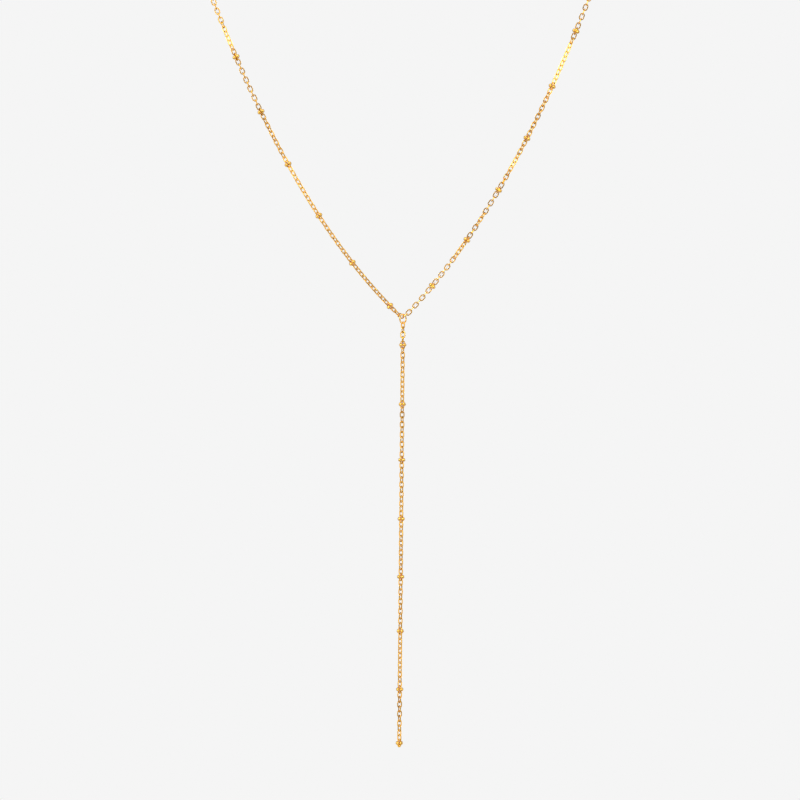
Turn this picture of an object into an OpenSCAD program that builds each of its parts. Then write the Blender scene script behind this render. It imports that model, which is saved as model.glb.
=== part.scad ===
// Gold Y necklace: a fine cable chain with clusters of small soldered beads, and a straight drop
// that hangs from a jump ring at the lowest point of the neck chain.
// Millimetres, Z up. The wearer faces -Y, and the origin is where the clasp rests on the nape.

/* [Link] */
// Outer length of a link
link_length = 2.07; // [2.05:0.01:2.12]
// Outer width of a link
link_width = 1.41; // [1.38:0.01:1.46]
// Thickness of the link's wire
link_wire = 0.27; // [0.22:0.01:0.28]

/* [Bead clusters] */
// Diameter of one soldered bead
bead_diameter = 1.05; // [0.98:0.01:1.06]
// Distance of a bead's centre from the chain's middle line, both sideways and in depth
bead_offset = 0.48; // [0.46:0.01:0.48]
// How much longer a link with beads is than a plain one
cluster_extra = 0.36; // [0.34:0.02:0.4]

/* [Neck chain] */
// Height of the nape above the lowest joint of the neck chain
nape_rise = 122; // [110:1:130]
// Depth from the nape forward to the plane of the front chain
front_depth = 80; // [74:1:90]
// Angle above level of the two links that meet at the lowest joint
apex_angle = 29; // [20:1:35]
// Length that each of those two links takes up
apex_pitch = 1.35; // [1.33:0.01:1.38]
// How far the right one of the two hangs above the lowest joint, and the left one below it
apex_split = 0.07; // [0.06:0.01:0.1]
// Rise over run where the left side starts to hang
left_slope = 0.97; // [0.9:0.01:1.05]
// Sag radius of the left side
left_sag = 62.8; // [58:0.1:70]
// Rise over run where the right side starts to hang
right_slope = 1.05; // [0.95:0.01:1.1]
// Sag radius of the right side
right_sag = 66.6; // [58:0.1:70]
// Length that each link takes up above the last bead cluster of a side
end_pitch = 1.4; // [1.36:0.01:1.42]

/* [Drop] */
// Outer diameter of the jump ring that carries the drop
drop_ring_diameter = 2.92; // [2.88:0.02:2.96]
// Thickness of the jump ring's wire
drop_ring_wire = 0.36; // [0.32:0.01:0.38]
// Turn of the jump ring about the vertical, out of the plane of the front chain
drop_ring_turn = 47; // [42:1:50]
// Sideways lean of the drop, to the left
drop_lean = 0.5; // [0:0.1:1]

/* [Back chain and clasp] */
// Diameter of the plain rod that stands for the chain round the back of the neck
rod_diameter = 1.4; // [1.2:0.1:1.6]
// Outer diameter of the clasp's ring
clasp_diameter = 5.6; // [5:0.1:6]
// Thickness of the clasp's ring
clasp_wire = 0.9; // [0.8:0.05:1]
// Outer diameter of the ring that the clasp closes on
end_ring_diameter = 3.4; // [3.2:0.1:3.6]
// Thickness of that ring's wire
end_ring_wire = 0.5; // [0.4:0.05:0.5]

/* [Hidden] */
$fn = 36;
GOLD = "goldenrod";
// Space left between two pieces that hold each other, at the drop and at the clasp.
DROP_GAP = 0.11;
CLASP_GAP = 0.15;

// Clusters of a strand, from its lowest or first joint on.
// Columns: number of the link that carries the beads, distance of its middle along the strand.
LEFT_CLUSTERS = [
    [4, 3.45], [16, 19.5], [28, 35.7], [40, 52.5], [52, 69], [64, 85.9], [77, 104]
];
RIGHT_CLUSTERS = [
    [9, 10.6], [21, 26.7], [33, 43.3], [45, 59.8], [57, 76], [69, 92.8]
];
DROP_CLUSTERS = [
    [5, 6.2], [17, 22.8], [28, 38.4], [40, 54.9], [52, 71.1], [63, 86.3], [75, 102.6], [86, 117.6]
];

// Slow twist along a strand. Columns: link number, turn in degrees about the chain.
LEFT_TWIST = [
    [1, 24], [2, 27], [3, 45], [17, 45], [20, 38], [26, 38], [29, 48], [39, 48], [42, 33], [47, 36],
    [51, 30], [54, 5], [63, 5], [66, 40], [70, 52], [72, 85], [78, 90]
];
RIGHT_TWIST = [
    [1, 1], [15, 0], [17, 40], [20, 48], [22, 8], [24, 8], [26, 45], [28, 3], [34, 3], [36, 25],
    [39, 45], [42, 30], [48, 29], [50, 21], [56, 33], [59, 47], [66, 48], [68, 8], [69, 3], [78, 3]
];
DROP_TWIST = [
    [1, 43], [3, 5], [7, 33], [15, 45], [19, 25], [23, 34], [33, 32], [39, 42], [44, 36],
    [60, 33], [66, 44], [74, 54], [78, 65], [81, 64], [85, 42], [86, 36]
];

// Number of links in each strand, and the links' outline.
SIDE_LINKS = 78;
DROP_LINKS = 86;
half_length = (link_length - link_wire) / 2;
half_width = (link_width - link_wire) / 2;
cluster_half_length = half_length + cluster_extra / 2;

// Joints are the points where two links hold each other, numbered from 0 at a strand's start.
apex = [0, -front_depth, -nape_rise];
first_step = apex_pitch * [cos(apex_angle), 0, sin(apex_angle)];
split = [0, 0, apex_split];
drop_ring_radius = (drop_ring_diameter - drop_ring_wire) / 2;
drop_ring_centre = apex + [0.01, -0.63, -0.585];
drop_pitch = (DROP_CLUSTERS[0][1] - cluster_extra / 2) / (DROP_CLUSTERS[0][0] - 0.5);
drop_start = drop_ring_centre - [0, 0, drop_ring_radius + half_length - drop_pitch / 2]
    + [0, 0, (drop_ring_wire + link_wire) / 2 + DROP_GAP];

function unit(v) = v / norm(v);
function asinh(t) = ln(t + sqrt(t * t + 1));

// Point of a hanging chain at a distance along it, from its slope at the start and its sag radius.
function hang(distance, slope, sag) =
    let (t = slope + distance / sag)
    sag * [asinh(t) - asinh(slope), 0, sqrt(1 + t * t) - sqrt(1 + slope * slope)];

// Length that a link takes up after cluster number i of a table.
function pitch_after(i, table) =
    i < len(table) - 1
        ? (table[i + 1][1] - table[i][1] - cluster_extra) / (table[i + 1][0] - table[i][0])
        : end_pitch;

// Distance of a joint along its strand, which starts at the joint numbered start.
function joint_distance(joint, table, start) =
    let (i = len([for (row = table) if (row[0] <= joint) row]) - 1)
    i < 0
        ? (joint - start) * (table[0][1] - cluster_extra / 2) / (table[0][0] - 0.5 - start)
        : table[i][1] + cluster_extra / 2 + (joint - table[i][0] + 0.5) * pitch_after(i, table);

function mirror_x(v) = [-v[0], v[1], v[2]];
function left_point(distance) =
    apex - split + mirror_x(first_step + hang(distance, left_slope, left_sag));
function right_point(distance) =
    apex + split + first_step + hang(distance, right_slope, right_sag);
function drop_point(distance) = drop_start - distance * [sin(drop_lean), 0, cos(drop_lean)];

left_joints = [for (j = [0 : SIDE_LINKS])
    j == 0 ? apex - split : left_point(joint_distance(j, LEFT_CLUSTERS, 1))];
right_joints = [for (j = [0 : SIDE_LINKS])
    j == 0 ? apex + split : right_point(joint_distance(j, RIGHT_CLUSTERS, 1))];
drop_joints = [for (j = [0 : DROP_LINKS]) drop_point(joint_distance(j, DROP_CLUSTERS, 0))];

// Turn of a link about the chain. Every second link is a quarter turn on.
function turn_of(link, twist, square) = lookup(link, twist) + (link % 2 == square ? 90 : 0);
function is_cluster(link, table) = len([for (row = table) if (row[0] == link) row]) > 0;

// Back chain: a smooth curve that leaves the top joint of a side along the chain, and meets the
// nape level and sideways. LIFT and SWEEP say how strongly it holds each of those directions.
LIFT = 26;
SWEEP = 46;
ROD_RINGS = 40;
ROD_SIDES = 8;
rod_start_gap = 0.5;
end_ring_tilt = 40;
nape_y = (end_ring_diameter - end_ring_wire) / 2 * cos(end_ring_tilt) + end_ring_wire / 2;

// Clasp: an ear for the chain is soldered into the ring's left side, and a stud stands on its rim.
ear_diameter = 1.9;
ear_wire = 0.4;
ear_sink = 0.3;
ear_x = ear_sink - (clasp_diameter + ear_diameter) / 2;
stud_diameter = 0.8;
stud_length = 1.1;
stud_sink = 0.2;
stud_angle = 60;
end_ring_x = clasp_diameter / 2 - clasp_wire - CLASP_GAP - end_ring_wire + end_ring_diameter / 2;
left_rod_end = [ear_x - ear_diameter / 2 - CLASP_GAP, nape_y, 0];
right_rod_end = [end_ring_x + end_ring_diameter / 2 + CLASP_GAP, nape_y, 0];

function bezier(p, t) =
    pow(1 - t, 3) * p[0] + 3 * pow(1 - t, 2) * t * p[1] + 3 * (1 - t) * t * t * p[2] + pow(t, 3) * p[3];

function rod_handles(joints, end) =
    let (
        last = joints[SIDE_LINKS],
        up = unit(last - joints[SIDE_LINKS - 1]),
        start = last + rod_start_gap * up
    )
    [start, start + LIFT * up, end + [sign(end[0]) * SWEEP, 0, 0], end];

// Ring number i of a rod's skin, square to the curve.
function rod_ring(p, i) =
    let (
        t = i / (ROD_RINGS - 1),
        ahead = bezier(p, min(t + 0.01, 1)),
        behind = bezier(p, max(t - 0.01, 0)),
        along = unit(ahead - behind),
        across = unit(cross(along, [0, 0, 1])),
        up = cross(across, along)
    )
    [for (k = [0 : ROD_SIDES - 1])
        bezier(p, t) + rod_diameter / 2 * (cos(360 * k / ROD_SIDES) * across
            + sin(360 * k / ROD_SIDES) * up)];

// Closed ring of round wire in the XY plane.
module wire_ring(outer_diameter, wire) {
    rotate_extrude() translate([(outer_diameter - wire) / 2, 0]) circle(d = wire);
}

// Oval link in the XY plane, long along X, of two round ends and two straight sides.
module oval_link(half_length) {
    end_x = half_length - half_width;
    for (half = [0, 180]) rotate([0, 0, half]) {
        translate([end_x, 0, 0]) rotate([0, 0, -90])
            rotate_extrude(angle = 180) translate([half_width, 0]) circle(d = link_wire);
        translate([-end_x, half_width, 0]) rotate([0, 90, 0])
            cylinder(d = link_wire, h = 2 * end_x);
    }
}

// Square of four beads soldered round the middle of a link that lies along X.
module bead_square() {
    for (y = [-1, 1], z = [-1, 1])
        translate([0, y * bead_offset, z * bead_offset]) sphere(d = bead_diameter, $fn = 64);
}

// Places a link between two joints, turned about the line through them.
module between(a, b, turn) {
    along = unit(b - a);
    flat = unit(cross([0, 1, 0], along));
    across = cos(turn) * flat + sin(turn) * [0, 1, 0];
    normal = cross(along, across);
    middle = (a + b) / 2;
    multmatrix([for (i = [0 : 2]) [along[i], across[i], normal[i], middle[i]]]) children();
}

// Plain links of one strand, without those that carry beads.
module plain_links(joints, clusters, twist, square) {
    for (link = [1 : len(joints) - 1])
        if (!is_cluster(link, clusters))
            between(joints[link - 1], joints[link], turn_of(link, twist, square))
                oval_link(half_length);
}

// One link with beads of a strand. Two beads face the front however the link itself is turned.
module beads(number, joints, clusters, twist, square) {
    link = clusters[number - 1][0];
    color(GOLD) {
        between(joints[link - 1], joints[link], turn_of(link, twist, square))
            oval_link(cluster_half_length);
        between(joints[link - 1], joints[link], 0) bead_square();
    }
}

module neck_chain_left() {
    color(GOLD) plain_links(left_joints, LEFT_CLUSTERS, LEFT_TWIST, 0);
}

module neck_chain_right() {
    color(GOLD) plain_links(right_joints, RIGHT_CLUSTERS, RIGHT_TWIST, 1);
}

module drop_chain() {
    color(GOLD) plain_links(drop_joints, DROP_CLUSTERS, DROP_TWIST, 0);
}

// Jump ring, hooked through the first link right of the lowest joint.
module drop_ring() {
    color(GOLD)
        translate(drop_ring_centre) rotate([90, 0, drop_ring_turn])
            wire_ring(drop_ring_diameter, drop_ring_wire);
}

// Plain rod round the neck, along the curve with the given handles.
module back_rod(handles) {
    rings = [for (i = [0 : ROD_RINGS - 1]) each rod_ring(handles, i)];
    last = (ROD_RINGS - 1) * ROD_SIDES;
    sides = [for (i = [0 : ROD_RINGS - 2], k = [0 : ROD_SIDES - 1])
        let (a = i * ROD_SIDES + k, b = i * ROD_SIDES + (k + 1) % ROD_SIDES)
        [a, b, b + ROD_SIDES, a + ROD_SIDES]];
    caps = [
        [for (k = [ROD_SIDES - 1 : -1 : 0]) k],
        [for (k = [0 : ROD_SIDES - 1]) last + k]
    ];
    color(GOLD) polyhedron(points = rings, faces = concat(sides, caps));
}

module back_chain_left() {
    back_rod(rod_handles(left_joints, left_rod_end));
}

module back_chain_right() {
    back_rod(rod_handles(right_joints, right_rod_end));
}

// Spring ring clasp in one plain piece: a thick ring with a thumb stud and an ear for the chain.
module clasp() {
    color(GOLD) translate([0, nape_y, 0]) rotate([90, 0, 0]) {
        wire_ring(clasp_diameter, clasp_wire);
        translate([ear_x, 0, 0]) wire_ring(ear_diameter, ear_wire);
        rotate([0, 0, stud_angle]) translate([clasp_diameter / 2 - stud_sink, 0, 0])
            rotate([0, 90, 0]) cylinder(d = stud_diameter, h = stud_length);
    }
}

// Ring at the right end of the chain, held in the clasp.
module end_ring() {
    color(GOLD)
        translate([end_ring_x, nape_y, 0]) rotate([end_ring_tilt, 0, 0])
            wire_ring(end_ring_diameter, end_ring_wire);
}

neck_chain_left();
neck_chain_right();
drop_chain();
drop_ring();
for (i = [1 : len(LEFT_CLUSTERS)])
    beads(i, left_joints, LEFT_CLUSTERS, LEFT_TWIST, 0);
for (i = [1 : len(RIGHT_CLUSTERS)])
    beads(i, right_joints, RIGHT_CLUSTERS, RIGHT_TWIST, 1);
for (i = [1 : len(DROP_CLUSTERS)])
    beads(i, drop_joints, DROP_CLUSTERS, DROP_TWIST, 0);
back_chain_left();
back_chain_right();
clasp();
end_ring();
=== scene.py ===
"""Y necklace of fine gold cable chain, with clusters of soldered beads and a straight drop."""
import math

import bpy
import numpy as np
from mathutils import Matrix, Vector


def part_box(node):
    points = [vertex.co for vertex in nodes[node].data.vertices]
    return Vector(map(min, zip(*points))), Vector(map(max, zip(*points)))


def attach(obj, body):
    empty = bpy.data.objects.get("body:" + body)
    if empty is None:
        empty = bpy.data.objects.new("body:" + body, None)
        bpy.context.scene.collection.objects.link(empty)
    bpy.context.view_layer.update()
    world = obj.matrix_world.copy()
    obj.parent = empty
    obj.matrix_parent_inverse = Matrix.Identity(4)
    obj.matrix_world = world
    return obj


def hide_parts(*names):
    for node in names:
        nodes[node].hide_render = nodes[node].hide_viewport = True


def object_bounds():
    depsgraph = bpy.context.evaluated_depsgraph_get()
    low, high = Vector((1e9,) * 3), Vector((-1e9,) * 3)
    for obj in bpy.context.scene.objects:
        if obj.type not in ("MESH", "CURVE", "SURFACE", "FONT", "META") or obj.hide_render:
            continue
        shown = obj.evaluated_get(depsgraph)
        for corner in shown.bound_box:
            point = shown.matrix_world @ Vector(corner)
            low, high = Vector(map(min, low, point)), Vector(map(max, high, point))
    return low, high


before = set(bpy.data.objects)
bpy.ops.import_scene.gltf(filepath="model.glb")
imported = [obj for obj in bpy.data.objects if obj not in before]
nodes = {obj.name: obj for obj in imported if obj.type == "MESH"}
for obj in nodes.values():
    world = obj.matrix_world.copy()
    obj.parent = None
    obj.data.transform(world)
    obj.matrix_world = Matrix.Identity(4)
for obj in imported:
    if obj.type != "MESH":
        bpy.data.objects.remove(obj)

cad_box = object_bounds()
MM = 0.001

# Plain links of the neck chain
# Gold wire is wound on an oval former, cut into links, and each link is soldered shut through the
# last. Rolling the finished chain spreads the wire a little and leaves broad flats on both faces.
WIRE = 0.31
LINK_HALF_LENGTH = 0.90
LINK_HALF_WIDTH = 0.57
FLAT_HEIGHT = 0.69
FLAT_WIDTH = 0.68
SWELL_TOP = 1.6
SWELL_SLOPE = 2.4
END_STEPS = 12
SIDE_STEPS = 4
BAKE_MARGIN = 0.02
BAKE_CELL_ASPECT = 6
LEFT_LINKS = 71
RIGHT_LINKS = 72
LINK_GOLD = (0.92, 0.53, 0.064, 1)
LINK_DEEP_GOLD = (0.79, 0.40, 0.031, 1)
# Dark brown that paints shade where links cross and in the corners between beads, and darkens the clasp's
# seams
SHADE_AND_SEAM_BROWN = (0.20, 0.085, 0.02, 1)
EDGE_GOLD = (1.0, 0.62, 0.24, 1)
LINK_POLISH = 0.15
BEARING_FROM = 0.62
BEARING_RISE = 0.12
# Painted shade on the link ends where the next link crosses: how strong, where it begins and rises, and
# its share on the outer faces
LINK_PAINTED_SHADE = 0.35
SHADE_FROM = 0.25
SHADE_RISE = 0.3
SHADE_OUTSIDE = 0.6


def link_places(node, count):
    """Middle, long axis and wide axis of each link that a packed chain holds, lowest link first."""
    points = np.zeros(len(nodes[node].data.vertices) * 3)
    nodes[node].data.vertices.foreach_get("co", points)
    places = []
    for link in points.reshape(count, -1, 3):
        middle = (link.min(0) + link.max(0)) / 2
        axes = np.linalg.eigh(np.cov((link - middle).T))[1]
        long_axis = axes[:, 2] * (1 if axes[2, 2] > 0 else -1)
        places.append((middle, long_axis, axes[:, 1]))
    return sorted(places, key=lambda place: place[0][2])


def oval_wire(half_length, half_width, wire, swell):
    """Skin of one oval link in millimetres, its places along and round the wire, and the share of
    each place round it that faces into the link. swell thickens the wire at the middle of the sides."""
    end_x = half_length - half_width
    turn = np.linspace(-90, 90, END_STEPS + 1)[:-1]
    side = np.linspace(0, 1, SIDE_STEPS + 1)[:-1]
    line, out, run = [], [], []
    travelled = 0.0
    for sign in (1, -1):
        for degrees in turn:
            way = sign * np.array([math.cos(math.radians(degrees)), math.sin(math.radians(degrees))])
            line.append(way * half_width + [sign * end_x, 0])
            out.append(way)
            run.append(travelled + math.radians(degrees + 90) * half_width)
        travelled += math.pi * half_width
        for share in side:
            line.append([sign * end_x * (1 - 2 * share), sign * half_width])
            out.append(np.array([0, sign]))
            run.append(travelled + 2 * end_x * share)
        travelled += 2 * end_x
    line, out = np.array(line, float), np.array(out, float)
    edge = math.asin(FLAT_HEIGHT)
    quarter = [(math.cos(a), math.sin(a)) for a in (0, edge / 2, edge)] + [(FLAT_WIDTH, FLAT_HEIGHT)]
    half = quarter + [(-u, v) for u, v in quarter[:0:-1]]
    section = np.array(half + [(-u, -v) for u, v in half]) * wire / 2
    thick = 1 + swell * np.clip(SWELL_TOP - SWELL_SLOPE * np.abs(line[:, :1]), 0, 1)
    flat = line[:, None] + section[None, :, :1] * out[:, None] * thick[:, None]
    height = section[None, :, 1] * thick
    points = np.dstack([flat, height])
    round_it = np.arange(len(section) + 1) * math.pi * wire / len(section)
    return points, np.append(run, travelled), round_it, np.clip(-section[:, 0] / wire * 2, 0, 1)


def lay_links(name, places, half_length=LINK_HALF_LENGTH, swell=0.0):
    """One mesh of oval links at the given places, with a pattern map in millimetres and a bake map."""
    points, along, round_it, inner = oval_wire(half_length, LINK_HALF_WIDTH, WIRE, swell)
    steps, sides = points.shape[:2]
    count = len(places)
    chance = np.random.default_rng(count)
    skin = []
    for middle, long_axis, wide_axis in places:
        axes = np.stack([long_axis, wide_axis, np.cross(long_axis, wide_axis)])
        skin.append(middle + points.reshape(-1, 3) * MM @ axes)
    i, j = [a.ravel() for a in np.meshgrid(np.arange(steps), np.arange(sides), indexing="ij")]
    ring, spoke = (i + 1) % steps, (j + 1) % sides
    one = np.stack([i * sides + j, ring * sides + j, ring * sides + spoke, i * sides + spoke], 1)
    faces = (one[None] + (np.arange(count) * steps * sides)[:, None, None]).reshape(-1, 4)
    mesh = bpy.data.meshes.new(name)
    mesh.from_pydata(np.concatenate(skin).tolist(), [], faces.tolist())
    corner_u = np.stack([along[i], along[i + 1], along[i + 1], along[i]], 1)
    corner_v = np.stack([round_it[j], round_it[j], round_it[j + 1], round_it[j + 1]], 1)
    pattern = np.stack([corner_u, corner_v], -1).reshape(1, -1, 2)
    shift = chance.uniform(0, 50, (count, 1, 2))
    wire_map = mesh.uv_layers.new(name="wire")
    wire_map.uv.foreach_set("vector", (pattern + shift).astype(np.float32).ravel())
    columns = math.ceil(math.sqrt(count / BAKE_CELL_ASPECT))
    rows = math.ceil(count / columns)
    cell = pattern / [along[-1], round_it[-1]] * (1 - 2 * BAKE_MARGIN) + BAKE_MARGIN
    at = np.stack([np.arange(count) % columns, np.arange(count) // columns], -1)[:, None]
    bake_map = mesh.uv_layers.new(name="OFBake")
    bake_map.uv.foreach_set("vector", ((cell + at) / [columns, rows]).astype(np.float32).ravel())
    tint = mesh.attributes.new("piece_tint", "FLOAT", "POINT")
    tint.data.foreach_set("value", np.repeat(chance.uniform(0, 1, count), steps * sides))
    off_middle = np.abs(points[..., 0])
    bearing = np.clip((off_middle - BEARING_FROM) / BEARING_RISE, 0, 1) * inner
    rub = mesh.attributes.new("rubbed", "FLOAT", "POINT")
    rub.data.foreach_set("value", np.tile(bearing.ravel(), count))
    # Painted shade: the link ends, where the next link crosses, get a darker brown, more on their inner
    # faces and not on the rubbed bearing
    facing_in = SHADE_OUTSIDE + (1 - SHADE_OUTSIDE) * inner
    crossing = np.clip((off_middle - SHADE_FROM) / SHADE_RISE, 0, 1) * facing_in * (1 - bearing)
    shade_mask = mesh.attributes.new("painted_shade", "FLOAT", "POINT")
    shade_mask.data.foreach_set("value", np.tile(crossing.ravel() * LINK_PAINTED_SHADE, count))
    mesh.shade_smooth()
    piece = bpy.data.objects.new(name, mesh)
    bpy.context.scene.collection.objects.link(piece)
    return piece


def shader_group(name, inputs, outputs):
    """New node group with its inputs as (name, socket type, value) and outputs as (name, type)."""
    group = bpy.data.node_groups.new(name, "ShaderNodeTree")
    for label, kind, value in inputs:
        socket = group.interface.new_socket(name=label, in_out="INPUT", socket_type=kind)
        socket.default_value = value
    for label, kind in outputs:
        group.interface.new_socket(name=label, in_out="OUTPUT", socket_type=kind)
    group.nodes.new("NodeGroupInput")
    group.nodes.new("NodeGroupOutput")
    return group


def wire_up(tree, kind, settings=None, **sources):
    """New node of a kind. Sources are values or sockets by input name, with spaces as underscores."""
    made = tree.nodes.new(kind)
    for key, value in (settings or {}).items():
        setattr(made, key, value)
    for key, value in sources.items():
        name = key.replace("_", " ")
        at = made.inputs[int(name[5:])] if name.startswith("slot ") else made.inputs[name]
        if isinstance(value, bpy.types.NodeSocket):
            tree.links.new(value, at)
        else:
            at.default_value = value
    return made


def maths(tree, how, *values):
    """Output of a Math node."""
    made = tree.nodes.new("ShaderNodeMath")
    made.operation = how
    for at, value in enumerate(values):
        if isinstance(value, bpy.types.NodeSocket):
            tree.links.new(value, made.inputs[at])
        else:
            made.inputs[at].default_value = value
    return made.outputs[0]


def blend_colour(tree, share, low, high):
    """Colour between low and high by share."""
    made = wire_up(tree, "ShaderNodeMix", {"data_type": "RGBA"})
    for at, value in ((0, share), (6, low), (7, high)):
        if isinstance(value, bpy.types.NodeSocket):
            tree.links.new(value, made.inputs[at])
        else:
            made.inputs[at].default_value = value
    return made.outputs[2]


# Colour of the gold: it drifts a little over each piece and from piece to piece, rubbed places are
# brighter, and shade is painted on as a dark brown where links cross and in the corners between beads.
DRIFT_CONTRAST = 1.6
DRIFT_SHIFT = -0.55
TINT_SHARE = 0.45
SHADE_CONTRAST = 1.2
SHADE_SHIFT = 0.2

gold_tone = shader_group(
    "gold_tone",
    [
        ("Gold", "NodeSocketColor", LINK_GOLD),
        ("Deep Gold", "NodeSocketColor", LINK_DEEP_GOLD),
        ("Film", "NodeSocketColor", SHADE_AND_SEAM_BROWN),
        ("Patch Size", "NodeSocketFloat", 0.8),
    ],
    [("Color", "NodeSocketColor"), ("Film", "NodeSocketFloat")],
)
inside = gold_tone.nodes
given = inside["Group Input"].outputs
place = wire_up(gold_tone, "ShaderNodeTexCoord").outputs["Object"]
scale = maths(gold_tone, "DIVIDE", 1 / MM, given["Patch Size"])
sized = wire_up(gold_tone, "ShaderNodeVectorMath", {"operation": "SCALE"}, Vector=place, Scale=scale)
drift = wire_up(gold_tone, "ShaderNodeTexNoise", Vector=sized.outputs[0], Scale=1.0, Detail=3.0)
tint = wire_up(gold_tone, "ShaderNodeAttribute", {"attribute_name": "piece_tint"}).outputs["Fac"]
rubbed = wire_up(gold_tone, "ShaderNodeAttribute", {"attribute_name": "rubbed"}).outputs["Fac"]
painted_shade = wire_up(gold_tone, "ShaderNodeAttribute", {"attribute_name": "painted_shade"}).outputs["Fac"]
spread = maths(gold_tone, "MULTIPLY_ADD", drift.outputs["Fac"], DRIFT_CONTRAST, DRIFT_SHIFT)
share = maths(gold_tone, "MULTIPLY_ADD", tint, TINT_SHARE, spread)
share = wire_up(gold_tone, "ShaderNodeClamp", Value=maths(gold_tone, "SUBTRACT", share, rubbed)).outputs[0]
body = blend_colour(gold_tone, share, given["Gold"], given["Deep Gold"])
# Painted shade: the dark brown is laid where the mesh attribute marks link crossings and bead corners,
# patchy with the drift
patchy = maths(gold_tone, "MULTIPLY_ADD", drift.outputs["Fac"], SHADE_CONTRAST, SHADE_SHIFT)
shade_mask = wire_up(gold_tone, "ShaderNodeClamp", Value=maths(gold_tone, "MULTIPLY", painted_shade, patchy)).outputs[0]
toned = blend_colour(gold_tone, shade_mask, body, given["Film"])
gold_tone.links.new(toned, inside["Group Output"].inputs["Color"])
gold_tone.links.new(shade_mask, inside["Group Output"].inputs["Film"])

# Handling marks on the gold: hairline scratches that cross each other, and the faint waviness of a
# surface polished in a tumbler.
HAIRLINE_TURNS = ((0.4, 0.9, 0.3), (1.1, 0.2, 1.7))
HAIRLINE_STRETCHES = ((1.0, 0.12, 0.5), (0.14, 1.0, 0.6))
HAIRLINE_SHARPNESS = 9.0
HAIRLINE_BLEND = 0.2
HAIRLINE_HEIGHT = -0.25
SHADE_DULLING = 0.3
WAVE_SIZE = 0.5

handling_marks = shader_group(
    "handling_marks",
    [
        ("Polish", "NodeSocketFloat", LINK_POLISH),
        ("Mark Size", "NodeSocketFloat", 0.12),
        ("Dulling", "NodeSocketFloat", 0.16),
        ("Film", "NodeSocketFloat", 0.0),
    ],
    [("Roughness", "NodeSocketFloat"), ("Height", "NodeSocketFloat")],
)
inside = handling_marks.nodes
given = inside["Group Input"].outputs
place = wire_up(handling_marks, "ShaderNodeTexCoord").outputs["Object"]
scale = maths(handling_marks, "DIVIDE", 1 / MM, given["Mark Size"])
hairlines = []
for turn, stretch in zip(HAIRLINE_TURNS, HAIRLINE_STRETCHES):
    laid = wire_up(handling_marks, "ShaderNodeMapping", Vector=place, Rotation=turn, Scale=stretch)
    sized = wire_up(handling_marks, "ShaderNodeVectorMath", {"operation": "SCALE"},
                    Vector=laid.outputs[0], Scale=scale)
    noise = wire_up(handling_marks, "ShaderNodeTexNoise", Vector=sized.outputs[0], Scale=1.0, Detail=4.0,
                    Roughness=0.65)
    centred = maths(handling_marks, "SUBTRACT", noise.outputs["Fac"], 0.5)
    from_line = maths(handling_marks, "MULTIPLY", maths(handling_marks, "ABSOLUTE", centred),
                      HAIRLINE_SHARPNESS)
    hairlines.append(maths(handling_marks, "SMOOTH_MIN", 1.0, from_line, HAIRLINE_BLEND))
marks = maths(handling_marks, "SUBTRACT", 1.0, maths(handling_marks, "MINIMUM", *hairlines))
dull = maths(handling_marks, "MULTIPLY_ADD", marks, given["Dulling"], given["Polish"])
# Roughness also rises where shade is painted on the colour
rough = maths(handling_marks, "MULTIPLY_ADD", given["Film"], SHADE_DULLING, dull)
wave = wire_up(handling_marks, "ShaderNodeTexNoise", Vector=place, Scale=1 / (WAVE_SIZE * MM),
               Detail=1.0)
height = maths(handling_marks, "MULTIPLY_ADD", marks, HAIRLINE_HEIGHT, wave.outputs["Fac"])
handling_marks.links.new(rough, inside["Group Output"].inputs["Roughness"])
handling_marks.links.new(height, inside["Group Output"].inputs["Height"])

BUMP_STRENGTH = 0.35
DRAW_LINE_SCALE = (0.6, 14, 1)


def gold_finish(name, gold, deep_gold, polish, patch_size, mark_size, dulling, relief, drawn=0.0):
    """Polished gold material, with sizes in millimetres. relief is the depth of its marks, and drawn
    the share of it that draw lines along the wire take."""
    material = bpy.data.materials.new(name)
    material.use_nodes = True
    tree = material.node_tree
    surface = tree.nodes["Principled BSDF"]
    surface.inputs["Metallic"].default_value = 1.0
    surface.inputs["Specular Tint"].default_value = EDGE_GOLD
    tone = wire_up(tree, "ShaderNodeGroup", {"node_tree": gold_tone}, Gold=gold, Patch_Size=patch_size)
    tone.inputs["Deep Gold"].default_value = deep_gold
    tree.links.new(tone.outputs["Color"], surface.inputs["Base Color"])
    marked = wire_up(tree, "ShaderNodeGroup", {"node_tree": handling_marks}, Polish=polish,
                     Mark_Size=mark_size, Dulling=dulling, Film=tone.outputs["Film"])
    tree.links.new(marked.outputs["Roughness"], surface.inputs["Roughness"])
    height = marked.outputs["Height"]
    if drawn:
        wire_map = wire_up(tree, "ShaderNodeUVMap", {"uv_map": "wire"})
        laid = wire_up(tree, "ShaderNodeMapping", Vector=wire_map.outputs[0], Scale=DRAW_LINE_SCALE)
        lines = wire_up(tree, "ShaderNodeTexNoise", Vector=laid.outputs[0], Scale=1.0, Detail=2.0)
        height = maths(tree, "MULTIPLY_ADD", lines.outputs["Fac"], drawn, height)
    bump = wire_up(tree, "ShaderNodeBump", Height=height, Strength=BUMP_STRENGTH, Distance=relief * MM)
    tree.links.new(bump.outputs[0], surface.inputs["Normal"])
    return material


link_gold = gold_finish("link_gold", LINK_GOLD, LINK_DEEP_GOLD, polish=LINK_POLISH, patch_size=0.8,
                        mark_size=0.12, dulling=0.14, relief=0.0045, drawn=0.3)
left_places = link_places("neck_chain_left", LEFT_LINKS)
right_places = link_places("neck_chain_right", RIGHT_LINKS)
for node, places in (("neck_chain_left", left_places), ("neck_chain_right", right_places)):
    links = lay_links(node.replace("chain", "links"), places)
    links.data.materials.append(link_gold)
    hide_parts(node)
    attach(links, "root")

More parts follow.
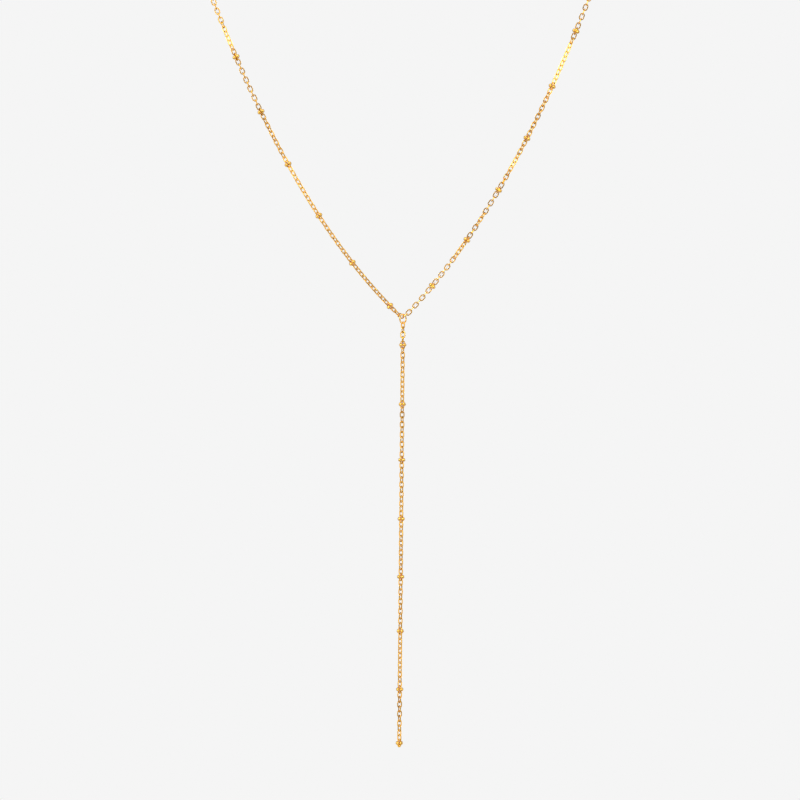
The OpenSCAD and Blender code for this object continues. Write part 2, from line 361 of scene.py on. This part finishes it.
# Bead clusters of the neck chain
# Four solid gold beads are soldered round the middle of one longer link. The solder draws into the
# corners between them as small fillets, which stay a little duller than the polished beads, and
# shade is painted into these corners as a darker brown.
BEAD = 1.05
BEAD_OFFSET = 0.48
BEAD_LINK_HALF_LENGTH = 1.08
SOLDER_CORE = 0.8
SOLDER_SWELL = 0.3
SOLDER_CORNER = 0.16
# Strength of the shade painted into the corners between beads
CORNER_SHADE = 0.7
SKIN_GRAIN = 0.056
SKIN_EASE = 0.5
SKIN_EASE_STEPS = 4
NEXT_LINK_REACH = 1.8
BEAD_GOLD = (0.81, 0.49, 0.10, 1)
BEAD_DEEP_GOLD = (0.70, 0.37, 0.055, 1)
BEAD_POLISH = 0.10


def round_bead(radius, rings=16, spokes=24):
    """Points and faces of a ball with its poles on the long axis of the link."""
    points, faces = [[radius, 0, 0], [-radius, 0, 0]], []
    for ring in range(1, rings):
        tilt = math.pi * ring / rings
        for spoke in range(spokes):
            turn = 2 * math.pi * spoke / spokes
            points.append([radius * math.cos(tilt), radius * math.sin(tilt) * math.cos(turn),
                           radius * math.sin(tilt) * math.sin(turn)])
    for spoke in range(spokes):
        after = (spoke + 1) % spokes
        faces.append([0, 2 + spoke, 2 + after])
        for ring in range(rings - 2):
            low = 2 + ring * spokes
            faces.append([low + spoke, low + spokes + spoke, low + spokes + after, low + after])
        last = 2 + (rings - 2) * spokes
        faces.append([1, last + after, last + spoke])
    return np.array(points), faces


def soldered_beads():
    """Points in millimetres and faces of four beads, fused to each other round a core of solder."""
    shell = bpy.data.meshes.new("bead_shell")
    points, faces = [], []
    blobs = [((0, y * BEAD_OFFSET, z * BEAD_OFFSET), BEAD / 2) for y in (-1, 1) for z in (-1, 1)]
    for middle, radius in blobs + [((0, 0, 0), SOLDER_CORE / 2)]:
        ball, ball_faces = round_bead(radius)
        faces += [[v + len(points) for v in face] for face in ball_faces]
        points += (ball + middle).tolist()
    shell.from_pydata(points, [], faces)
    blank = bpy.data.objects.new("bead_shell", shell)
    bpy.context.scene.collection.objects.link(blank)
    fuse = blank.modifiers.new("fuse", "REMESH")
    fuse.mode = "VOXEL"
    fuse.voxel_size = SKIN_GRAIN
    ease = blank.modifiers.new("ease", "SMOOTH")
    ease.factor = SKIN_EASE
    ease.iterations = SKIN_EASE_STEPS
    made = blank.evaluated_get(bpy.context.evaluated_depsgraph_get()).to_mesh()
    points = np.array([v.co for v in made.vertices])
    faces = [list(face.vertices) for face in made.polygons]
    bpy.data.objects.remove(blank)
    bpy.data.meshes.remove(shell)
    return points, faces


bead_points, bead_faces = soldered_beads()
bead_gold = gold_finish("bead_gold", BEAD_GOLD, BEAD_DEEP_GOLD, polish=BEAD_POLISH, patch_size=1.2,
                        mark_size=0.10, dulling=0.12, relief=0.006)


def unit(v):
    """The same way at length one."""
    return np.asarray(v, float) / np.linalg.norm(v)


def bead_corner_share(points):
    """From 0 on open bead to 1 in the corner where two beads meet."""
    gaps = [np.abs(np.linalg.norm(points - [0, y * BEAD_OFFSET, z * BEAD_OFFSET], axis=1) - BEAD / 2)
            for y in (-1, 1) for z in (-1, 1)]
    return np.clip(1 - np.sort(gaps, axis=0)[1] / SOLDER_CORNER, 0, 1)


def add_cluster(name, place, *replaced):
    """One bead cluster at a place: its link, and the fused beads round it, two of them to the front."""
    middle, long_axis, _ = place
    link = lay_links(name, [place], BEAD_LINK_HALF_LENGTH, SOLDER_SWELL)
    across = unit(np.cross([0, 1, 0], long_axis))
    axes = np.stack([long_axis, across, np.cross(long_axis, across)])
    mesh = bpy.data.meshes.new(name + "_beads")
    mesh.from_pydata((middle + bead_points * MM @ axes).tolist(), [], bead_faces)
    # Painted shade: the corners where two beads meet get the darker brown
    corner_shade = mesh.attributes.new("painted_shade", "FLOAT", "POINT")
    corner_shade.data.foreach_set("value", bead_corner_share(bead_points) * CORNER_SHADE)
    mesh.shade_smooth()
    mesh.materials.append(bead_gold)
    link.data.materials.append(link_gold)
    beads = bpy.data.objects.new(name + "_beads", mesh)
    bpy.context.scene.collection.objects.link(beads)
    for piece in (link, beads):
        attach(piece, "root")
    if replaced:
        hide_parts(*replaced)
    return beads


def cluster_place(node, places):
    """Place of a packed cluster: its link stands a quarter turn on from the plain links beside it."""
    low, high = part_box(node)
    middle = np.array((low + high) / 2)
    first, second = sorted(places, key=lambda place: np.linalg.norm(place[0] - middle))[:2]
    if np.linalg.norm(second[0] - middle) > NEXT_LINK_REACH * MM:
        second = first
    long_axis = unit(first[1] + second[1])
    flat = [np.cross(place[1], place[2]) for place in (first, second)]
    wide = flat[0] + flat[1] * (1 if flat[0] @ flat[1] > 0 else -1)
    return middle, long_axis, unit(wide - (wide @ long_axis) * long_axis)


for side, places in (("left", left_places), ("right", right_places)):
    for node in sorted(name for name in nodes if name.startswith(side + "_beads")):
        add_cluster(node.replace("beads", "cluster"), cluster_place(node, places), node)

# Jump ring of the drop
# A round ring of thicker wire, hooked through the first link right of the lowest joint. It carries
# the drop. Its joint is soldered and polished away.
RING_GOLD = (0.91, 0.53, 0.092, 1)
RING_DEEP_GOLD = (0.78, 0.39, 0.052, 1)
ring_gold = gold_finish("ring_gold", RING_GOLD, RING_DEEP_GOLD, polish=0.13, patch_size=1.0,
                        mark_size=0.12, dulling=0.14, relief=0.008)
nodes["drop_ring"].data.materials.clear()
nodes["drop_ring"].data.materials.append(ring_gold)

# Drop
# The same chain hangs straight down from the jump ring and ends in a cluster of beads. Its links
# twist slowly, as they do on the neck chain.
DROP_LINKS = 78
drop_places = link_places("drop_chain", DROP_LINKS)
drop = lay_links("drop_links", drop_places)
drop.data.materials.append(link_gold)
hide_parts("drop_chain")
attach(drop, "root")
for node in sorted(name for name in nodes if name.startswith("drop_beads")):
    add_cluster(node.replace("beads", "cluster"), cluster_place(node, drop_places), node)

# The end of the last link is filled with a drop of solder below its beads.
SOLDER_DROP = 0.34
SOLDER_DROP_BELOW = 0.66
tip_middle, tip_way, _ = cluster_place("drop_beads_8", drop_places)
link_end = tip_middle - tip_way * SOLDER_DROP_BELOW * MM
ball, ball_faces = round_bead(SOLDER_DROP)
solder_mesh = bpy.data.meshes.new("drop_end_solder")
solder_mesh.from_pydata((link_end + ball * MM).tolist(), [], ball_faces)
solder_mesh.shade_smooth()
solder_mesh.materials.append(bead_gold)
end_solder = bpy.data.objects.new("drop_end_solder", solder_mesh)
bpy.context.scene.collection.objects.link(end_solder)
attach(end_solder, "root")

# Back chain
# The neck chain goes on round the back of the neck, with a cluster on every twelfth link, and its
# last link is looped through the clasp's ear or the end ring.
LIFT = 26
SWEEP = 46
ROD_START_GAP = 0.5
BACK_PITCH = 1.37
CLUSTER_EXTRA = 0.36
CLUSTER_EVERY = 12
LEFT_FIRST_CLUSTER = 11
RIGHT_FIRST_CLUSTER = 3
HOOK_GAP = 0.1
EAR_WIRE = 0.4
END_RING_WIRE = 0.5
END_RING_TILT = math.radians(40)
ROUTE_STEPS = 400


def back_route(start, way, rod_end, final_x):
    """Points along the back chain, from the last joint of the front chain to the clasp."""
    side = math.copysign(1, rod_end[0])
    begin = start + way * ROD_START_GAP * MM
    handles = [begin, begin + way * LIFT * MM, rod_end + [side * SWEEP * MM, 0, 0], rod_end]
    t = np.linspace(0, 1, ROUTE_STEPS)[:, None]
    curve = sum(share * handle for share, handle in zip(
        ((1 - t) ** 3, 3 * (1 - t) ** 2 * t, 3 * (1 - t) * t ** 2, t ** 3), handles))
    return np.vstack([start, curve, [final_x, rod_end[1], rod_end[2]]])


def back_places(route, places, first_cluster, hook_wide):
    """Places of the links along a route, which carry on the front chain's quarter turns."""
    run = np.append(0, np.cumsum(np.linalg.norm(np.diff(route, axis=0), axis=1))) / MM
    count = round(run[-1] / BACK_PITCH)
    beaded = [number >= first_cluster and (number - first_cluster) % CLUSTER_EVERY == 0
              for number in range(1, count + 1)]
    pitch = (run[-1] - CLUSTER_EXTRA * sum(beaded)) / count
    joints = np.append(0, np.cumsum([pitch + CLUSTER_EXTRA * has_beads for has_beads in beaded]))
    joints = np.stack([np.interp(joints, run, route[:, k]) for k in range(3)], 1)
    middles = (joints[1:] + joints[:-1]) / 2
    ways = [unit(step) for step in np.diff(joints, axis=0)]
    carried = [np.cross(places[-1][1], places[-1][2])]
    for number, way in enumerate(ways):
        level = carried[-1] if number == 0 else np.cross(way, carried[-1])
        carried.append(unit(level - (level @ way) * way))
    carried = carried[1:]
    hooked = unit(hook_wide - (hook_wide @ ways[-1]) * ways[-1])
    off = math.atan2(np.cross(carried[-1], hooked) @ ways[-1], carried[-1] @ hooked)
    off = (off + math.pi / 2) % math.pi - math.pi / 2
    laid = []
    for number, (middle, way, wide) in enumerate(zip(middles, ways, carried)):
        turn = off * (number + 1) / count
        laid.append((middle, way, wide * math.cos(turn) + np.cross(way, wide) * math.sin(turn)))
    return laid, beaded


clasp_low, clasp_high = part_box("clasp")
ring_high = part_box("end_ring")[1]
nape_y = (clasp_low.y + clasp_high.y) / 2
link_reach = (LINK_HALF_LENGTH - BACK_PITCH / 2 - WIRE / 2 - HOOK_GAP) * MM
# Where each side's chain ends, how its last link stands there, and its first bead link
hooks = {
    "left": (clasp_low.x + EAR_WIRE * MM - link_reach, np.array([0, 1, 0]), LEFT_FIRST_CLUSTER),
    "right": (ring_high.x - END_RING_WIRE * MM + link_reach,
              np.array([0, -math.sin(END_RING_TILT), math.cos(END_RING_TILT)]),
              RIGHT_FIRST_CLUSTER),
}
for side, places in (("left", left_places), ("right", right_places)):
    low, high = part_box("back_chain_" + side)
    rod_end = np.array([high.x if side == "left" else low.x, nape_y, 0])
    middle, way, _ = places[-1]
    start = middle + way * np.linalg.norm(middle - places[-2][0]) / 2
    final_x, hook_wide, first_cluster = hooks[side]
    laid, beaded = back_places(back_route(start, way, rod_end, final_x), places, first_cluster, hook_wide)
    back = lay_links("back_links_" + side, [place for place, has in zip(laid, beaded) if not has])
    back.data.materials.append(link_gold)
    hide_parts("back_chain_" + side)
    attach(back, "root")
    for number, place in enumerate([place for place, has in zip(laid, beaded) if has], 1):
        add_cluster(f"back_cluster_{side}_{number}", place)

# Clasp and end ring
# A spring ring clasp of hollow tube with a thumb stud and a soldered ear, and the plain ring that
# it closes on. Its gate meets the tube in two fine seams, and the stud runs in a short slot.
CLASP_GOLD = (0.92, 0.54, 0.095, 1)
CLASP_DEEP_GOLD = (0.80, 0.41, 0.057, 1)
GATE_SEAMS = (24, 52)
SEAM_EDGE = (0.022, 0.01)
STUD_SLOT = (67, 98)
SLOT_END = 0.03
SLOT_SIDE = (0.12, 0.08)
SLOT_REACH = (2.6, 2.65)
ENGRAVED_HEIGHT = -4.0


def band(tree, value, low, high):
    """Smooth rise from 0 where the value is low to 1 where it is high. low may be above high."""
    made = wire_up(tree, "ShaderNodeMapRange", {"interpolation_type": "SMOOTHSTEP"}, Value=value)
    made.inputs["From Min"].default_value = low
    made.inputs["From Max"].default_value = high
    return made.outputs["Result"]


def engrave_gate(material, middle):
    """Dark seams at the ends of the clasp's gate, and the slot in its rim that the stud runs in."""
    tree = material.node_tree
    surface = tree.nodes["Principled BSDF"]
    place = wire_up(tree, "ShaderNodeTexCoord").outputs["Object"]
    off = wire_up(tree, "ShaderNodeVectorMath", {"operation": "SUBTRACT"}, slot_0=place, slot_1=middle)
    x, y, z = wire_up(tree, "ShaderNodeSeparateXYZ", Vector=off.outputs[0]).outputs
    bearing = maths(tree, "ARCTAN2", z, x)
    reach = maths(tree, "SQRT", maths(tree, "MULTIPLY_ADD", x, x, maths(tree, "MULTIPLY", z, z)))
    begin, end = [math.radians(angle) for angle in STUD_SLOT]
    along_slot = maths(tree, "SUBTRACT", band(tree, bearing, begin, begin + SLOT_END),
                       band(tree, bearing, end, end + SLOT_END))
    across_slot = band(tree, maths(tree, "ABSOLUTE", y), *[side * MM for side in SLOT_SIDE])
    at_rim = band(tree, reach, *[radius * MM for radius in SLOT_REACH])
    dark = maths(tree, "MULTIPLY", maths(tree, "MULTIPLY", along_slot, across_slot), at_rim)
    for angle in GATE_SEAMS:
        apart = maths(tree, "ABSOLUTE", maths(tree, "SUBTRACT", bearing, math.radians(angle)))
        dark = maths(tree, "MAXIMUM", dark, band(tree, apart, *SEAM_EDGE))
    gold = surface.inputs["Base Color"].links[0].from_socket
    tree.links.new(blend_colour(tree, dark, gold, SHADE_AND_SEAM_BROWN), surface.inputs["Base Color"])
    bump = surface.inputs["Normal"].links[0].from_node
    marked = bump.inputs["Height"].links[0].from_socket
    height = maths(tree, "MULTIPLY_ADD", dark, ENGRAVED_HEIGHT, marked)
    tree.links.new(height, bump.inputs["Height"])


for node in ("clasp", "end_ring"):
    polished = gold_finish(node + "_gold", CLASP_GOLD, CLASP_DEEP_GOLD, polish=0.12, patch_size=2.0,
                           mark_size=0.2, dulling=0.16, relief=0.01)
    nodes[node].data.materials.clear()
    nodes[node].data.materials.append(polished)
engrave_gate(nodes["clasp"].data.materials[0], (0, nape_y, 0))

# Studio
# A pale floor well below the hanging necklace, soft panels and cool windows at both sides, a small
# bright key light, and a long lens that looks level at the front chain out of a dark surround.
PICTURE = 800
PIXEL = 0.28 * MM
SENSOR = 36
APEX_PIXEL = (402.9, 316.8)
APEX_HEIGHT = -122
VIEW_DISTANCE = 1.5
FLOOR_DROP = 1.1
FLOOR_RADIUS = 3
FLOOR_POINTS = 64
FLOOR_GREY = 0.86
LAMP_POWER = 14
LAMP_SIZE = 2.0
LAMP_PLACE = Vector((0, 0.3, 1.6))

apex_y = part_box("neck_chain_left")[1].y - LINK_HALF_WIDTH * MM
apex_z = APEX_HEIGHT * MM
camera_data = bpy.data.cameras.new("camera")
camera_data.sensor_width = SENSOR
camera_data.lens = SENSOR * VIEW_DISTANCE / (PICTURE * PIXEL)
camera_data.clip_start = 0.05
camera_data.clip_end = 50
camera = bpy.data.objects.new("camera", camera_data)
camera.location = ((PICTURE / 2 - APEX_PIXEL[0]) * PIXEL, apex_y - VIEW_DISTANCE,
                   apex_z + (APEX_PIXEL[1] - PICTURE / 2) * PIXEL)
camera.rotation_euler = (math.pi / 2, 0, 0)
bpy.context.scene.collection.objects.link(camera)
bpy.context.scene.camera = camera

floor_mesh = bpy.data.meshes.new("floor")
rim = [(FLOOR_RADIUS * math.cos(a), FLOOR_RADIUS * math.sin(a), cad_box[0].z - FLOOR_DROP)
       for a in np.linspace(0, 2 * math.pi, FLOOR_POINTS + 1)[:-1]]
floor_mesh.from_pydata(rim, [], [list(range(len(rim)))])
floor = bpy.data.objects.new("floor", floor_mesh)
pale = bpy.data.materials.new("pale_floor")
pale.use_nodes = True
paint = pale.node_tree.nodes["Principled BSDF"]
paint.inputs["Base Color"].default_value = (FLOOR_GREY, FLOOR_GREY, FLOOR_GREY, 1)
paint.inputs["Roughness"].default_value = 0.9
floor_mesh.materials.append(pale)
bpy.context.scene.collection.objects.link(floor)

lamp_data = bpy.data.lights.new("light_overhead", "AREA")
lamp_data.shape = "SQUARE"
lamp_data.size = LAMP_SIZE
lamp_data.energy = LAMP_POWER
lamp = bpy.data.objects.new("light_overhead", lamp_data)
lamp.location = LAMP_PLACE
aim = Vector((0, apex_y, apex_z)) - LAMP_PLACE
lamp.rotation_euler = aim.to_track_quat("-Z", "Y").to_euler()
bpy.context.scene.collection.objects.link(lamp)

# Light from all round, and where each part of it begins and ends, as shares of the way's X, Y and Z
PALE = 0.913
BEHIND = 0.18
FRONT_FILL = 0.15
FRONT_EDGE = (0.0, 0.5)
SIDE_PANELS = 1.0
CORNER_PANELS = 0.2
PANEL_INNER = (0.75, 0.88)
PANEL_BACK = (-0.35, -0.05)
CORNER_EDGE = (0.2, 0.45)
OVERHEAD = 0.35
OVERHEAD_EDGE = (0.4, 0.85)
DARK_LENS = 0.97
LENS_EDGE = (0.94, 0.985)
KEY_LIGHT = 12.0
KEY_WAY = (-0.25, -0.9, 0.357)
KEY_EDGE = (0.955, 0.985)
WINDOW_LIGHT = 4.0
WINDOW_COLOUR = (1, 1.1, 2.6, 1)
WINDOW_INNER = (0.80, 0.87)
WINDOW_OUTER = (0.985, 0.95)
WINDOW_LOW = (0.2, 0.3)
WINDOW_BACK = (-0.2, -0.05)
WINDOW_FRONT = (0.35, 0.2)

world = bpy.data.worlds.new("studio")
world.use_nodes = True
sky = world.node_tree
sky.nodes.clear()
way = wire_up(sky, "ShaderNodeTexCoord").outputs["Generated"]
axes = wire_up(sky, "ShaderNodeSeparateXYZ", Vector=way).outputs
aside = maths(sky, "ABSOLUTE", axes["X"])
ahead = maths(sky, "MULTIPLY", axes["Y"], -1.0)
level_off = maths(sky, "ABSOLUTE", axes["Z"])
beside = maths(sky, "MULTIPLY", band(sky, aside, *PANEL_INNER), band(sky, ahead, *PANEL_BACK))
panels = maths(sky, "MULTIPLY_ADD", band(sky, level_off, *CORNER_EDGE), CORNER_PANELS, SIDE_PANELS)
panels = maths(sky, "MULTIPLY", panels, beside)
overhead = maths(sky, "MULTIPLY", band(sky, axes["Z"], *OVERHEAD_EDGE), OVERHEAD)
fill = maths(sky, "MULTIPLY_ADD", band(sky, ahead, *FRONT_EDGE), FRONT_FILL, BEHIND)
window = band(sky, aside, *WINDOW_INNER)
for value, edge in ((aside, WINDOW_OUTER), (level_off, WINDOW_LOW),
                    (ahead, WINDOW_BACK), (ahead, WINDOW_FRONT)):
    window = maths(sky, "MULTIPLY", window, band(sky, value, *edge))
soft = maths(sky, "ADD", panels, maths(sky, "ADD", overhead, fill))
lens = maths(sky, "MULTIPLY_ADD", band(sky, ahead, *LENS_EDGE), -DARK_LENS, 1.0)
key = wire_up(sky, "ShaderNodeVectorMath", {"operation": "DOT_PRODUCT"}, slot_0=way, slot_1=KEY_WAY)
key = band(sky, key.outputs["Value"], *KEY_EDGE)
level = maths(sky, "MULTIPLY_ADD", key, KEY_LIGHT, maths(sky, "MULTIPLY", soft, lens))
level = maths(sky, "MULTIPLY_ADD", window, WINDOW_LIGHT, level)
cool = blend_colour(sky, window, (1, 1, 1, 1), WINDOW_COLOUR)
seen = wire_up(sky, "ShaderNodeBackground", Color=(PALE, PALE, PALE, 1))
around = wire_up(sky, "ShaderNodeBackground", Color=cool, Strength=level)
eye = wire_up(sky, "ShaderNodeLightPath").outputs["Is Camera Ray"]
either = wire_up(sky, "ShaderNodeMixShader", slot_0=eye, slot_1=around.outputs[0], slot_2=seen.outputs[0])
wire_up(sky, "ShaderNodeOutputWorld", Surface=either.outputs[0])
bpy.context.scene.world = world
bpy.context.scene.view_settings.view_transform = "Standard"
